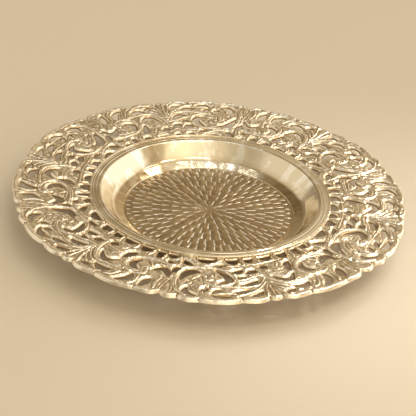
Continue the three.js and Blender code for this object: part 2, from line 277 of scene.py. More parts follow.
# Broad soft swellings, and raised beads: angle, percent, radius and height
DOMES = [
    (6.4, 37, 6.4, 0.55),
    (23.4, 33, 6, 0.4),
    (26.4, 76, 5.5, 0.4),
    (16.6, 84, 4.5, 0.35),
    (10, 64, 6, 0.4),
    (27.6, 12, 5, 0.45),
    (-15, 72, 5, 0.4),
    (-20.6, 30, 4.5, 0.35),
    (-12.6, 25, 4.5, 0.35),
    (-27, 30, 4.5, 0.4),
]
BEADS = [
    (2.9, 91.5, 1.5, 0.95),
    (-0.2, 96.4, 1.6, 1.0),
    (-2.1, 90.5, 1.4, 0.95),
    (0.1, 50, 1.5, 0.9),
    (21.3, 50.5, 1.7, 0.95),
    (-19.4, 46.5, 1.6, 0.95),
    (-24, 63, 2.2, 0.95),
    (-8.8, 53.4, 1.4, 0.85),
    (4.5, 91.5, 1.2, 0.8),
    (-11.4, 68.2, 1.1, 0.7),
    (30, 55, 1.5, 0.9),
    (-18.5, 68.5, 1.2, 0.8),
]


def polar(angle, radius):
    turn = np.radians(angle)
    return np.stack([radius * np.cos(turn), radius * np.sin(turn)], -1)


def border_point(angle, percent):
    return polar(angle, FLANGE_R + percent / 100 * BORDER_WIDTH)


def rim_at(angle):
    """Radius of the scalloped rim, and distance along it to the nearest notch."""
    first = RIM_LOBES[0]
    angle = (np.asarray(angle, float) - first[0]) % SECTION_ANGLE + first[0]
    rim = np.zeros_like(angle)
    notch = np.zeros_like(angle)
    last = (first[0] + SECTION_ANGLE, *first[1:])
    for here, after in zip(RIM_LOBES, [*RIM_LOBES[1:], last]):
        share = np.clip((angle - here[0]) / (after[0] - here[0]), 0, 1)
        base = here[1] + (after[1] - here[1]) * share
        radius = RIM_R + base + (here[2] - base) * np.sin(np.pi * share) ** LOBE_POWER
        this = (angle >= here[0]) & (angle <= after[0])
        rim = np.where(this, radius, rim)
        aside = np.minimum(angle - here[0], after[0] - angle)
        notch = np.where(this, np.radians(aside) * RIM_R, notch)
    return rim, notch


def crescent(path, width, steps=14):
    start, middle, end = (border_point(*path[i:i + 2]) for i in (0, 2, 4))
    pull = 2 * middle - (start + end) / 2
    t = np.linspace(0, 1, steps + 1)[1:-1, None]
    line = (1 - t) ** 2 * start + 2 * t * (1 - t) * pull + t ** 2 * end
    along = 2 * (1 - t) * (pull - start) + 2 * t * (end - pull)
    along /= np.linalg.norm(along, axis=1, keepdims=True)
    side = np.stack([-along[:, 1], along[:, 0]], -1) * width / 2
    side *= np.sin(np.pi * t) ** CRESCENT_POWER
    return np.concatenate([[start], line + side, [end], (line - side)[::-1]])


def eyelet(low, high, height, steps=16):
    share = np.linspace(0, 1, steps + 1)
    base = LAND / BORDER_WIDTH * 100
    arch = np.sin(np.pi * share) ** EYELET_POWER
    return border_point(low + (high - low) * share, base + height * arch)


def turned_by(points, angle):
    c, s = math.cos(math.radians(angle)), math.sin(math.radians(angle))
    return points @ np.array([[c, s], [-s, c]])


def with_neighbours(shape):
    """A shape of this section, and the same one of the sections on both sides."""
    return [turned_by(shape, shift) for shift in (-SECTION_ANGLE, 0, SECTION_ANGLE)]


def smooth_line(path, samples=8):
    """Points of a smooth curve through the given ones."""
    knots = border_point(np.array(path[0::2], float), np.array(path[1::2], float))
    knots = np.concatenate([[2 * knots[0] - knots[1]], knots, [2 * knots[-1] - knots[-2]]])
    t = np.linspace(0, 1, samples, endpoint=False)[:, None]
    parts = []
    for a, b, c, d in zip(knots, knots[1:], knots[2:], knots[3:]):
        parts.append(0.5 * (2 * b + (c - a) * t + (2 * a - 5 * b + 4 * c - d) * t ** 2
                            + (3 * b - a - 3 * c + d) * t ** 3))
    return np.concatenate([*parts, [knots[-2]]])


def signed_distance(points, outline):
    """Distance to a closed outline, negative inside it."""
    best = np.full(len(points), np.inf)
    inside = np.zeros(len(points), bool)
    for a, b in zip(outline, np.roll(outline, -1, 0)):
        edge = b - a
        rel = points - a
        t = np.clip(rel @ edge / (edge @ edge), 0, 1)
        best = np.minimum(best, np.hypot(*(rel - t[:, None] * edge).T))
        crosses = (a[1] > points[:, 1]) != (b[1] > points[:, 1])
        reach = edge[0] * rel[:, 1] / (edge[1] or 1e-12)
        inside ^= crosses & (rel[:, 0] < reach)
    return np.where(inside, -best, best)


def line_distance(points, line):
    """Distance to an open line, distance along it, and its length."""
    best = np.full(len(points), np.inf)
    along = np.zeros(len(points))
    start = 0.0
    for a, b in zip(line, line[1:]):
        edge = b - a
        length = math.hypot(*edge)
        rel = points - a
        t = np.clip(rel @ edge / length ** 2, 0, 1)
        far = np.hypot(*(rel - t[:, None] * edge).T)
        closer = far < best
        best = np.where(closer, far, best)
        along = np.where(closer, start + t * length, along)
        start += length
    return best, along, start


def near(points, shape, margin):
    low, high = shape.min(0) - margin, shape.max(0) + margin
    return np.flatnonzero(((points > low) & (points < high)).all(1))


def smoothstep(low, high, value):
    t = np.clip((value - low) / (high - low), 0, 1)
    return t * t * (3 - 2 * t)


def bumps(points, size, seed):
    """Smooth random waves from -1 to 1 on a grid of that size."""
    table = np.random.default_rng(seed).uniform(-1, 1, (BUMP_CELLS, BUMP_CELLS))
    place = points / size + 10 * BUMP_CELLS
    base = np.floor(place).astype(int)
    t = place - base
    t = t * t * (3 - 2 * t)
    i, j = base[:, 0] % BUMP_CELLS, base[:, 1] % BUMP_CELLS
    k, m = (i + 1) % BUMP_CELLS, (j + 1) % BUMP_CELLS
    low = table[i, j] + (table[k, j] - table[i, j]) * t[:, 0]
    high = table[i, m] + (table[k, m] - table[i, m]) * t[:, 0]
    return low + (high - low) * t[:, 1]


def edge_distance(points, rim):
    """Distance into the metal from the nearest opening or the rim."""
    edge = np.minimum(OPENING_REACH, rim)
    for opening in [crescent(*c) for c in CRESCENTS] + [eyelet(*e) for e in EYELETS]:
        for outline in with_neighbours(opening):
            found = near(points, outline, OPENING_REACH)
            if len(found):
                far = signed_distance(points[found], outline)
                edge[found] = np.minimum(edge[found], far)
    return edge


def stroke_profile(kind, across, along):
    """Share of a stroke's height: across is 0 on its middle line and 1 at its edge."""
    if kind == "pair":
        return PAIR_RIDGE * np.sin(np.pi * across) + PAIR_MIDDLE * (1 - across)
    dome = 0.5 + 0.5 * np.cos(np.pi * across)
    if kind == "leaf":
        ribs = np.cos(2 * np.pi * (along / LEAF_RIB_PITCH - LEAF_RIB_SLANT * across))
        return dome * (1 - LEAF_RIB + LEAF_RIB * ribs)
    return dome


def stroke_relief(points):
    """What the strokes raise, and the valleys and finer lines beside them."""
    relief = np.zeros(len(points))
    sink = np.zeros(len(points))
    for path, start, end, kind, height in STROKES:
        for line in with_neighbours(smooth_line(path)):
            found = near(points, line, STROKE_REACH)
            if not len(found):
                continue
            far, along, length = line_distance(points[found], line)
            share = along / length
            half = (start + (end - start) * share) / 2
            if kind == "leaf":
                arch = np.sin(np.pi * np.clip(share, 0, 1)) ** 0.5
                half = half * (LEAF_END + (1 - LEAF_END) * arch)
            raised = height * stroke_profile(kind, np.minimum(far / half, 1), along)
            relief[found] = np.maximum(relief[found], raised)
            out = np.clip(far - half, 0, None)
            lines = 0.5 - 0.5 * np.cos(2 * np.pi * out / LINE_PITCH)
            groove = LINE_DEPTH * lines * np.exp(-out / LINE_FADE)
            valley = VALLEY * np.exp(-((out - VALLEY_MIDDLE) / VALLEY_HALF) ** 2)
            sink[found] = np.maximum(sink[found], np.maximum(groove, valley))
    return relief, sink


def bead_relief(points):
    """What the beads raise, and the grooves round them."""
    relief = np.zeros(len(points))
    sink = np.zeros(len(points))
    for angle, percent, radius, height in BEADS:
        for centre in with_neighbours(border_point(angle, percent)):
            far = np.hypot(*(points - centre).T)
            raised = height * np.sqrt(np.clip(1 - (far / radius) ** 2, 0, 1))
            relief = np.maximum(relief, raised)
            out = far - radius - BEAD_GROOVE_MIDDLE
            sink = np.maximum(sink, BEAD_GROOVE * np.exp(-(out / BEAD_GROOVE_HALF) ** 2))
    return relief, sink


def rim_relief(rim, notch):
    """The ridge along the rim's lobes, and the crease in from each notch."""
    ridge = np.exp(-((rim - LOBE_MIDDLE) / LOBE_HALF) ** 2)
    full = np.clip(notch / LOBE_END, 0, 1)
    inward = np.clip(1 - rim / NOTCH_REACH, 0, 1)
    crease = NOTCH_DEPTH * inward * np.exp(-(notch / NOTCH_HALF) ** 2)
    return LOBE_HEIGHT * ridge * full * (2 - full), crease


def swellings_at(points):
    best = np.zeros(len(points))
    for angle, percent, radius, height in DOMES:
        for centre in with_neighbours(border_point(angle, percent)):
            far = np.clip(np.hypot(*(points - centre).T) / radius, 0, 1)
            best = np.maximum(best, height * (1 - far ** 2) ** 2)
    return best


def veins_at(points):
    best = np.zeros(len(points))
    for path in VEINS:
        for line in with_neighbours(smooth_line(path)):
            found = near(points, line, STROKE_REACH)
            if len(found):
                far = line_distance(points[found], line)[0]
                cut = VEIN_DEPTH * np.exp(-(far / VEIN_HALF) ** 2)
                best[found] = np.maximum(best[found], cut)
    return best


def border_fields(points, angles, radii):
    """Distance to the nearest opening or rim, height of the relief, how much of the casting's
    unevenness there is, and how dark the recesses and the openings' edges are made, as tarnish
    with painted shade."""
    rim, notch = rim_at(angles)
    rim -= radii
    edge = edge_distance(points, rim)
    raised, sunk = zip(stroke_relief(points), bead_relief(points), rim_relief(rim, notch))
    relief, sink = np.max(raised, 0), np.max(sunk, 0)
    veins = veins_at(points)
    depth = np.clip(edge, 0, None)
    outer = smoothstep(*RIM_ZONE, rim)
    width = PILLOW_WIDTH + (RIM_WIDTH - PILLOW_WIDTH) * outer
    swell = np.sin(np.pi / 2 * np.clip(depth / width, 0, 1))
    fade = smoothstep(0, FADE_WIDTH, depth)
    sink = sink * fade * np.clip(1 - relief / FILLED, 0, 1)
    low = EDGE + (RIM_EDGE - EDGE) * outer
    over = RAISED * np.maximum(relief, swellings_at(points)) - veins
    height = low + (PILLOW - low) * swell - sink + fade * over
    at_opening = rim > depth + OPENING_MARGIN
    # Tarnish and painted shade darken the metal along the openings' edges.
    dark_tint = EDGE_TARNISH_AND_SHADE * np.exp(-(depth / EDGE_TARNISH_AND_SHADE_WIDTH) ** 2) * at_opening
    return edge, height, BUMP_HEIGHT * fade, sink + fade * veins + dark_tint


def underside_at(radius):
    return SEAT_Z - WEB + dishing(radius)


def dishing(radius):
    return np.clip((radius - FLANGE_R) / BORDER_WIDTH, 0, None) * RIM_RISE


def section_parts():
    """Vertices, faces, material marks, unevenness and recess darkness (tarnish with painted
    shade) of one border section, its fan along +X."""
    end = SECTION_ANGLE / 2 - SEAM
    angles = np.linspace(-end, end, GRID_ANGLES)
    radii = np.arange(FLANGE_R - TONGUE, RIM_R + GRID_PAST_RIM, GRID_STEP)
    shape = (len(angles), len(radii))
    a, r = (g.ravel() for g in np.meshgrid(angles, radii, indexing="ij"))
    field, height, rough, sink = border_fields(polar(a, r), a, r)
    field = field.reshape(shape)
    inside = field > 0
    number = np.full(shape, -1)
    number[inside] = np.arange(inside.sum())
    keep = inside.ravel()
    where = [np.stack([a[keep], r[keep]], -1)]
    tops = [height[keep]]
    uneven = [rough[keep]]
    dark = [sink[keep]]
    count = int(inside.sum())

    def crossings(first, second, steps):
        """Cut points on the grid's edges from first to second nodes."""
        nonlocal count
        f, s = field[first], field[second]
        cut = (f > 0) != (s > 0)
        share = np.clip(f[cut] / (f[cut] - s[cut]), CUT_MARGIN, 1 - CUT_MARGIN)
        i, j = np.nonzero(cut)
        angle = angles[i] + share * steps[0] * (angles[1] - angles[0])
        radius = radii[j] + share * steps[1] * GRID_STEP
        where.append(np.stack([angle, radius], -1))
        on_rim = rim_at(angle)[0] - radius < AT_RIM
        tops.append(np.where(on_rim, RIM_EDGE, EDGE))
        uneven.append(np.zeros(len(i)))
        # Cut points at the openings are darkened with tarnish and painted shade; those on the rim
        # are not.
        dark.append(np.where(on_rim, 0, TARNISH_AND_SHADE_AT_CUT))
        ids = np.full(cut.shape, -1)
        ids[cut] = count + np.arange(len(i))
        count += len(i)
        return ids

    all_ = slice(None)
    along_angle = crossings((slice(None, -1), all_), (slice(1, None), all_), (1, 0))
    along_radius = crossings((all_, slice(None, -1)), (all_, slice(1, None)), (0, 1))
    quads = np.stack([number[:-1, :-1], number[:-1, 1:], number[1:, 1:], number[1:, :-1]], -1)
    full = (quads >= 0).all(-1)
    faces = quads[full].tolist()
    some = (quads >= 0).any(-1) & ~full
    for i, j in zip(*np.nonzero(some)):
        ring = [
            number[i, j], along_angle[i, j], number[i + 1, j], along_radius[i + 1, j],
            number[i + 1, j + 1], along_angle[i, j + 1], number[i, j + 1], along_radius[i, j],
        ]
        ring = [int(n) for n in ring if n >= 0][::-1]
        if len(ring) > 2:
            faces.append(ring)
    where = np.concatenate(where)
    flat = polar(where[:, 0], where[:, 1])
    z = SEAT_Z + dishing(where[:, 1]) + np.concatenate(tops)
    verts = np.column_stack([flat, z])
    low, walls, flat = close_below(verts, faces, where[:, 1])
    marks = [0] * (len(faces) + len(walls)) + [1] * len(flat)
    uneven = np.concatenate([*uneven, np.zeros(len(low))])
    # The walls darken all the way down to the underside: tarnish with painted shade.
    tarnish_and_shade = np.concatenate([DARKENING * np.concatenate(dark), np.ones(len(low))])
    return np.concatenate([verts, low]), faces + walls + flat, marks, uneven, tarnish_and_shade


def uneven_casting(verts, uneven, seed):
    """The section's vertices with the fine unevenness of one casting."""
    waves = bumps(verts[:, :2], BUMP_SIZE, seed)
    waves += FINE_BUMPS * bumps(verts[:, :2], BUMP_SIZE / 2, seed + 1)
    web = SEAT_Z + dishing(np.hypot(verts[:, 0], verts[:, 1]))
    height = np.minimum(verts[:, 2] + uneven * waves, web + TOP)
    return np.column_stack([verts[:, :2], height])


def close_below(verts, faces, radius):
    """The underside's vertices, the walls down to them, and the flat underside."""
    pairs = np.array([(f[k], f[(k + 1) % len(f)]) for f in faces for k in range(len(f))])
    keys = np.sort(pairs, 1) @ np.array([len(verts), 1])
    _, first, times = np.unique(keys, return_index=True, return_counts=True)
    border = pairs[first[times == 1]]
    used = np.unique(border)
    order = {int(v): i for i, v in enumerate(used)}
    low = verts[used].copy()
    low[:, 2] = underside_at(radius[used])
    edges = [(order[p], order[q]) for p, q in border.tolist()]
    walls = [[len(verts) + order[p], len(verts) + order[q], q, p] for p, q in border.tolist()]
    points = [Vector(p) for p in low[:, :2].tolist()]
    _, _, tris, origin, _, _ = delaunay_2d_cdt(points, edges, [], 0, 1e-7, True)
    tris = [[origin[k][0] for k in tri] for tri in tris if all(origin[k] for k in tri)]
    flat = [[len(verts) + k for k in tri[::-1]] for tri in left_of(edges, tris)]
    return low, walls, flat


def left_of(edges, tris):
    """The triangles that lie on the left of closed outlines."""
    ahead = set(edges)
    owner = {side: n for n, (a, b, c) in enumerate(tris) for side in ((a, b), (b, c), (c, a))}
    reached = {owner[edge] for edge in edges}
    waiting = sorted(reached)
    while waiting:
        a, b, c = tris[waiting.pop()]
        for p, q in ((a, b), (b, c), (c, a)):
            beside = owner.get((q, p))
            if (p, q) not in ahead and beside is not None and beside not in reached:
                reached.add(beside)
                waiting.append(beside)
    return [tris[n] for n in sorted(reached)]


def make_mesh(name, verts, faces, materials, tarnish_and_shade=None, marks=None, sharp=40):
    mesh = bpy.data.meshes.new(name)
    mesh.from_pydata((np.asarray(verts) * MM).tolist(), [], faces)
    for material in materials:
        mesh.materials.append(material)
    if marks is not None:
        mesh.polygons.foreach_set("material_index", marks)
    mesh.polygons.foreach_set("use_smooth", [True] * len(mesh.polygons))
    if tarnish_and_shade is not None:
        layer = mesh.attributes.new("tarnish_and_shade", "FLOAT", "POINT")
        layer.data.foreach_set("value", np.asarray(tarnish_and_shade, np.float32))
    mesh.validate()
    mesh.update()
    mesh.set_sharp_from_angle(angle=math.radians(sharp))
    thing = bpy.data.objects.new(name, mesh)
    bpy.context.scene.collection.objects.link(thing)
    return thing


def add(tree, kind, settings=(), **inputs):
    """A shader node with its settings. An input goes by its name, or by its number as i0, i1
    and so on, and is a value or a socket."""
    made = tree.nodes.new("ShaderNode" + kind)
    for key, value in dict(settings).items():
        setattr(made, key, value)
    for key, value in inputs.items():
        socket = made.inputs[int(key[1:]) if key[0] == "i" and key[1:].isdigit() else key]
        if isinstance(value, bpy.types.NodeSocket):
            tree.links.new(value, socket)
        else:
            socket.default_value = value
    return made


def ramp(tree, factor, stops):
    made = tree.nodes.new("ShaderNodeValToRGB")
    while len(made.color_ramp.elements) < len(stops):
        made.color_ramp.elements.new(0.5)
    for element, (place, colour) in zip(made.color_ramp.elements, stops):
        element.position = place
        element.color = (*colour, 1)
    tree.links.new(factor, made.inputs["Fac"])
    return made.outputs["Color"]


def grey(value):
    return (value, value, value)


def new_material(name):
    material = bpy.data.materials.new(name)
    material.use_nodes = True
    tree = material.node_tree
    shader = tree.nodes["Principled BSDF"]
    shader.inputs["Metallic"].default_value = 1.0
    return material, tree, shader


def radial(tree, place, stretch):
    """Coordinates in which a pattern runs outwards from the middle as streaks."""
    flat = add(tree, "VectorMath", {"operation": "MULTIPLY"}, i0=place, i1=(1, 1, 0))
    around = add(tree, "VectorMath", {"operation": "NORMALIZE"}, i0=flat.outputs[0])
    made = add(tree, "VectorMath", {"operation": "MULTIPLY_ADD"}, i0=place,
               i1=(stretch, stretch, stretch), i2=around.outputs[0])
    return made.outputs[0]


def cast_silver():
    """Bright on the crowns, brown and dull in the recesses as tarnish with painted shade, with a
    fine cast grain.
    """
    material, tree, shader = new_material("cast_silver")
    place = add(tree, "TexCoord").outputs["Object"]
    # The recess value darkens the colour and dulls it: tarnish with painted shade.
    tarnish_and_shade = add(tree, "Attribute", {"attribute_name": "tarnish_and_shade"}).outputs["Fac"]
    cloud = add(tree, "TexNoise", Vector=place, Scale=55.0, Detail=5.0, Roughness=0.6)
    worn = add(tree, "Math", {"operation": "MULTIPLY_ADD"}, i0=cloud.outputs["Fac"],
               i1=0.5, i2=-0.25)
    depth = add(tree, "Math", {"operation": "ADD"}, i0=tarnish_and_shade, i1=worn.outputs[0])
    colour = ramp(tree, depth.outputs[0], [
        (0.0, (0.93, 0.86, 0.74)), (0.28, (0.8, 0.69, 0.52)), (0.62, (0.38, 0.27, 0.16)),
        (1.0, (0.18, 0.12, 0.068)),
    ])
    tree.links.new(colour, shader.inputs["Base Color"])
    rough = ramp(tree, depth.outputs[0], [(0.0, grey(0.2)), (0.4, grey(0.3)), (0.9, grey(0.5))])
    tree.links.new(rough, shader.inputs["Roughness"])
    grain = add(tree, "TexNoise", Vector=place, Scale=1500.0, Detail=3.0, Roughness=0.6)
    dents = add(tree, "TexNoise", Vector=place, Scale=350.0, Detail=2.0)
    fine = add(tree, "Bump", Strength=0.35, Distance=0.00008, Height=grain.outputs["Fac"])
    bump = add(tree, "Bump", Strength=0.5, Distance=0.0003, Height=dents.outputs["Fac"],
               Normal=fine.outputs["Normal"])
    tree.links.new(bump.outputs["Normal"], shader.inputs["Normal"])
    return material


def back_silver():
    """The castings' underside: left matt and clouded, with a coarse grain."""
    material, tree, shader = new_material("back_silver")
    place = add(tree, "TexCoord").outputs["Object"]
    cloud = add(tree, "TexNoise", Vector=place, Scale=45.0, Detail=6.0, Roughness=0.65)
    colour = ramp(tree, cloud.outputs["Fac"], [
        (0.3, (0.74, 0.66, 0.52)), (0.7, (0.5, 0.41, 0.28)),
    ])
    tree.links.new(colour, shader.inputs["Base Color"])
    rough = ramp(tree, cloud.outputs["Fac"], [(0.3, grey(0.42)), (0.7, grey(0.6))])
    tree.links.new(rough, shader.inputs["Roughness"])
    grain = add(tree, "TexNoise", Vector=place, Scale=900.0, Detail=4.0, Roughness=0.65)
    bump = add(tree, "Bump", Strength=0.6, Distance=0.00025, Height=grain.outputs["Fac"])
    tree.links.new(bump.outputs["Normal"], shader.inputs["Normal"])
    return material


# How far out, in metres, the streaks of the turned pieces set in, and the bowl's darker tint ends
# at the foot of its wall
STREAKS = (0.045, 0.066)
WALL_FOOT = (0.0725, 0.077)
BOWL_FOOT_TINT = (0.74, 0.66, 0.54)


def turned_silver(name, light, dark, rough_low, rough_high, dark_tint=None):
    """Polished sheet with faint rings from turning, wipe marks and soft tarnish, and, where
    given, a darker tint over the surface inside the foot of the bowl's wall."""
    material, tree, shader = new_material(name)
    place = add(tree, "TexCoord").outputs["Object"]
    cloud = add(tree, "TexNoise", Vector=place, Scale=38.0, Detail=6.0, Roughness=0.62)
    streak = add(tree, "TexNoise", Vector=radial(tree, place, 9.0), Scale=5.0, Detail=4.0)
    flat = add(tree, "VectorMath", {"operation": "MULTIPLY"}, i0=place, i1=(1, 1, 0))
    away = add(tree, "VectorMath", {"operation": "LENGTH"}, i0=flat.outputs[0])
    outside = add(tree, "MapRange", i0=away.outputs["Value"], i1=STREAKS[0], i2=STREAKS[1])
    marks = add(tree, "Mix", {"data_type": "FLOAT"}, i0=outside.outputs["Result"],
                i2=0.5, i3=streak.outputs["Fac"])
    both = add(tree, "Math", {"operation": "MULTIPLY_ADD"}, i0=marks.outputs[0], i1=1.1,
               i2=cloud.outputs["Fac"])
    colour = ramp(tree, both.outputs[0], [(0.9, light), (1.3, dark)])
    if dark_tint:
        # Darker inside the foot of the bowl's wall, above and below, fading out at the wall.
        wall = add(tree, "MapRange", i0=away.outputs["Value"], i1=WALL_FOOT[0], i2=WALL_FOOT[1])
        brown = ramp(tree, wall.outputs["Result"], [(0.0, dark_tint), (1.0, grey(1.0))])
        whole = add(tree, "Mix", {"data_type": "RGBA", "blend_type": "MULTIPLY"},
                    i0=1.0, i6=colour, i7=brown)
        colour = whole.outputs[2]
    tree.links.new(colour, shader.inputs["Base Color"])
    smear = add(tree, "TexNoise", Vector=place, Scale=120.0, Detail=4.0, Roughness=0.7)
    rough = ramp(tree, smear.outputs["Fac"], [(0.3, grey(rough_low)), (0.72, grey(rough_high))])
    tree.links.new(rough, shader.inputs["Roughness"])
    rings = add(tree, "TexWave", {"wave_type": "RINGS", "rings_direction": "Z"}, Vector=place,
                Scale=260.0, Distortion=1.4, Detail=3.0)
    waves = add(tree, "TexNoise", Vector=place, Scale=60.0, Detail=1.0)
    fine = add(tree, "Bump", Strength=0.12, Distance=0.00006, Height=rings.outputs["Fac"])
    bump = add(tree, "Bump", Strength=0.4, Distance=0.0018, Height=waves.outputs["Fac"],
               Normal=fine.outputs["Normal"])
    tree.links.new(bump.outputs["Normal"], shader.inputs["Normal"])
    return material


def matted_silver():
    """The darkened, punched ground of the medallion."""
    material, tree, shader = new_material("matted_silver")
    place = add(tree, "TexCoord").outputs["Object"]
    cloud = add(tree, "TexNoise", Vector=place, Scale=60.0, Detail=6.0, Roughness=0.6)
    streak = add(tree, "TexNoise", Vector=radial(tree, place, 1.7), Scale=55.0, Detail=3.0)
    both = add(tree, "Math", {"operation": "MULTIPLY_ADD"}, i0=streak.outputs["Fac"], i1=0.7,
               i2=cloud.outputs["Fac"])
    colour = ramp(tree, both.outputs[0], [
        (0.62, (0.6, 0.48, 0.31)), (1.0, (0.37, 0.275, 0.16)),
    ])
    tree.links.new(colour, shader.inputs["Base Color"])
    rough = ramp(tree, cloud.outputs["Fac"], [(0.3, grey(0.25)), (0.7, grey(0.36))])
    tree.links.new(rough, shader.inputs["Roughness"])
    cells = add(tree, "TexVoronoi", Vector=place, Scale=1100.0)
    fine = add(tree, "Bump", Strength=0.35, Distance=0.0001, Height=cells.outputs["Distance"])
    bump = add(tree, "Bump", Strength=0.5, Distance=0.00015, Height=streak.outputs["Fac"],
               Normal=fine.outputs["Normal"])
    tree.links.new(bump.outputs["Normal"], shader.inputs["Normal"])
    return material


def rounded(before, corner, after, radius, steps=8):
    """A profile's corner as an arc."""
    a, b, c = (np.array(p, float) for p in (before, corner, after))
    into = (b - a) / np.linalg.norm(b - a)
    out = (c - b) / np.linalg.norm(c - b)
    turn = math.acos(float(np.clip(into @ out, -1, 1)))
    side = math.copysign(1, into[0] * out[1] - into[1] * out[0])
    start = b - into * radius * math.tan(turn / 2)
    normal = side * np.array([-into[1], into[0]])
    centre = start + radius * normal
    points = []
    for t in np.linspace(0, turn, steps + 1):
        points.append(tuple(centre - radius * (normal * math.cos(t) - into * math.sin(t))))
    return points


def finer(profile, longest):
    """The profile with its long straight runs divided."""
    points = [profile[0]]
    for (r0, z0), (r1, z1) in zip(profile, profile[1:]):
        parts = max(1, math.ceil(math.hypot(r1 - r0, z1 - z0) / longest))
        points += [(r0 + (r1 - r0) * k / parts, z0 + (z1 - z0) * k / parts)
                   for k in range(1, parts + 1)]
    return points


def lathe(profile, segments, first=0):
    """Rings of vertices and the faces between them, normals to the profile's right."""
    turn = np.linspace(0, 2 * np.pi, segments, endpoint=False)
    verts = [(r * math.cos(t), r * math.sin(t), z) for r, z in profile for t in turn]
    faces = []
    for i in range(len(profile) - 1):
        for k in range(segments):
            n = (k + 1) % segments
            a, b = first + i * segments, first + (i + 1) * segments
            faces.append([a + k, a + n, b + n, b + k])
    return verts, faces


# Rows of chased strokes: outer end, length, number and half width of the head
STROKE_ROWS = [
    (14.0, 13.2, 10, 0.42),
    (21.7, 8.8, 17, 0.72),
    (29.3, 9.2, 24, 0.76),
    (36.9, 9.2, 31, 0.78),
    (44.5, 9.2, 38, 0.78),
    (52.0, 9.2, 46, 0.78),
    (59.6, 9.2, 56, 0.78),
    (64.2, 4.4, 56, 0.7),
]
# Outline of a stroke: share of its length from the outer end, and of its head's half width
STROKE_SHAPE = [(0.0, 0.0), (0.03, 0.55), (0.1, 1.0), (0.22, 0.85), (0.5, 0.62), (0.97, 0.42)]
# Its sunk middle line: share of its length, and of its depth
STROKE_SPINE = [(0.14, 1.0), (0.45, 0.6), (0.85, 0.38)]
STROKE_DEPTH = 0.42
# How much the strokes differ: aside as a share of their pitch, lean, place and length
STROKE_ASIDE = 0.12
STROKE_LEAN = 0.06
STROKE_SHIFT = (-0.5, 0.3)
STROKE_LENGTH = (0.9, 1.0)
STROKE_SEED = 7
# A stroke whose inner end comes this near to one of the row within is shortened
CROWDED = 1.7
CROWDED_SHARE = 0.78


def chased_stroke(middle, end, length, lean, half):
    """Points of a stroke and how deep they lie: its outline, and then its sunk middle line."""
    outline = STROKE_SHAPE + [(share, -wide) for share, wide in STROKE_SHAPE[:0:-1]]
    places = [(share, wide * half, 0.0) for share, wide in outline]
    places += [(share, 0.0, STROKE_DEPTH * half * part) for share, part in STROKE_SPINE]
    points = []
    for share, across, _ in places:
        radius = end - share * length
        away = across + lean * (share - 0.5) * length
        points.append((
            radius * math.cos(middle) - away * math.sin(middle),
            radius * math.sin(middle) + away * math.cos(middle),
        ))
    return points, [down for _, _, down in places], len(outline)


def medallion():
    """Flat ground with chased strokes sunk into it. Returns vertices, triangles and marks."""
    rng = np.random.default_rng(STROKE_SEED)
    outer = MEDALLION_R + CHASED_LINE[0][0]
    turn = np.linspace(0, 2 * np.pi, DISH_SEGMENTS, endpoint=False)
    points = [(outer * math.cos(t), outer * math.sin(t)) for t in turn]
    depth = [0.0] * len(points)
    owner = [-1] * len(points)
    edges = [(k, (k + 1) % DISH_SEGMENTS) for k in range(DISH_SEGMENTS)]
    within = [0.0]
    for row, (end, length, number, half) in enumerate(STROKE_ROWS):
        pitch = 360 / number
        heads = []
        for k in range(number):
            aside = rng.uniform(-STROKE_ASIDE, STROKE_ASIDE)
            middle = math.radians((k + 0.5 * (row % 2) + aside) * pitch)
            lean = rng.uniform(-STROKE_LEAN, STROKE_LEAN)
            place = end + rng.uniform(*STROKE_SHIFT)
            gap = min(abs(math.remainder(middle - head, math.tau)) for head in within)
            crowded = gap * (end - length) < CROWDED
            own = length * rng.uniform(*STROKE_LENGTH) * (CROWDED_SHARE if crowded else 1)
            heads.append(middle)
            stroke, sunk, around = chased_stroke(middle, place, own, lean, half)
            base = len(points)
            edges += [(base + m, base + (m + 1) % around) for m in range(around)]
            edges += [(base + m, base + m + 1) for m in range(around, len(stroke) - 1)]
            points += stroke
            depth += sunk
            owner += [base] * len(stroke)
        within = heads
    made, _, tris, origin, _, _ = delaunay_2d_cdt(
        [Vector(p) for p in points], edges, [], 1, 1e-6, True)
    deep = [depth[o[0]] if o else 0.0 for o in origin]
    whose = [owner[o[0]] if o else -1 for o in origin]
    verts = [(p.x, p.y, FLOOR_Z - d) for p, d in zip(made, deep)]
    marks = [int(whose[t[0]] >= 0 and len({whose[k] for k in t}) == 1) for t in tris]
    return verts, [list(t) for t in tris], marks


def build_dish(plain, ground, bright):
    line = [(MEDALLION_R + out, FLOOR_Z + up) for out, up in CHASED_LINE]
    top = [line[-1], (BAND_R, BAND_Z), (MOUTH_R, FLANGE_Z), (FLANGE_R, FLANGE_Z)]
    profile = [
        *line, *rounded(*top[:3], BAND_ROUND, BAND_STEPS), *rounded(*top[1:], MOUTH_ROUND),
    ]
    for radius, half, depth in FLANGE_LINES:
        profile += [
            (radius - half, FLANGE_Z), (radius, FLANGE_Z - depth), (radius + half, FLANGE_Z),
        ]
    bottom = FLANGE_Z - SHEET
    below = [
        (FLANGE_R - EDGE_BEVEL, bottom), (BELOW_MOUTH_R, bottom), (BELOW_BAND_R, BELOW_BAND_Z),
        (BELOW_FLOOR_R, FLOOR_Z - SHEET),
    ]
    profile += [
        (FLANGE_R - EDGE_BEVEL, FLANGE_Z), (FLANGE_R, FLANGE_Z - EDGE_BEVEL),
        (FLANGE_R, bottom + EDGE_BEVEL), below[0],
        *rounded(*below[:3], BELOW_MOUTH_ROUND), *rounded(*below[1:], BELOW_BAND_ROUND),
        below[3], (MIDDLE_RING, FLOOR_Z - SHEET), (0.0, FLOOR_Z - SHEET),
    ]
    profile = finer(profile, LONGEST_RUN)
    verts, faces, marks = medallion()
    rings, sides = lathe(profile[::-1], DISH_SEGMENTS, len(verts))
    thing = make_mesh(
        "dish", verts + rings, faces + sides, [ground, bright, plain],
        marks=marks + [2] * len(sides), sharp=24,
    )
    weld(thing)
    return thing


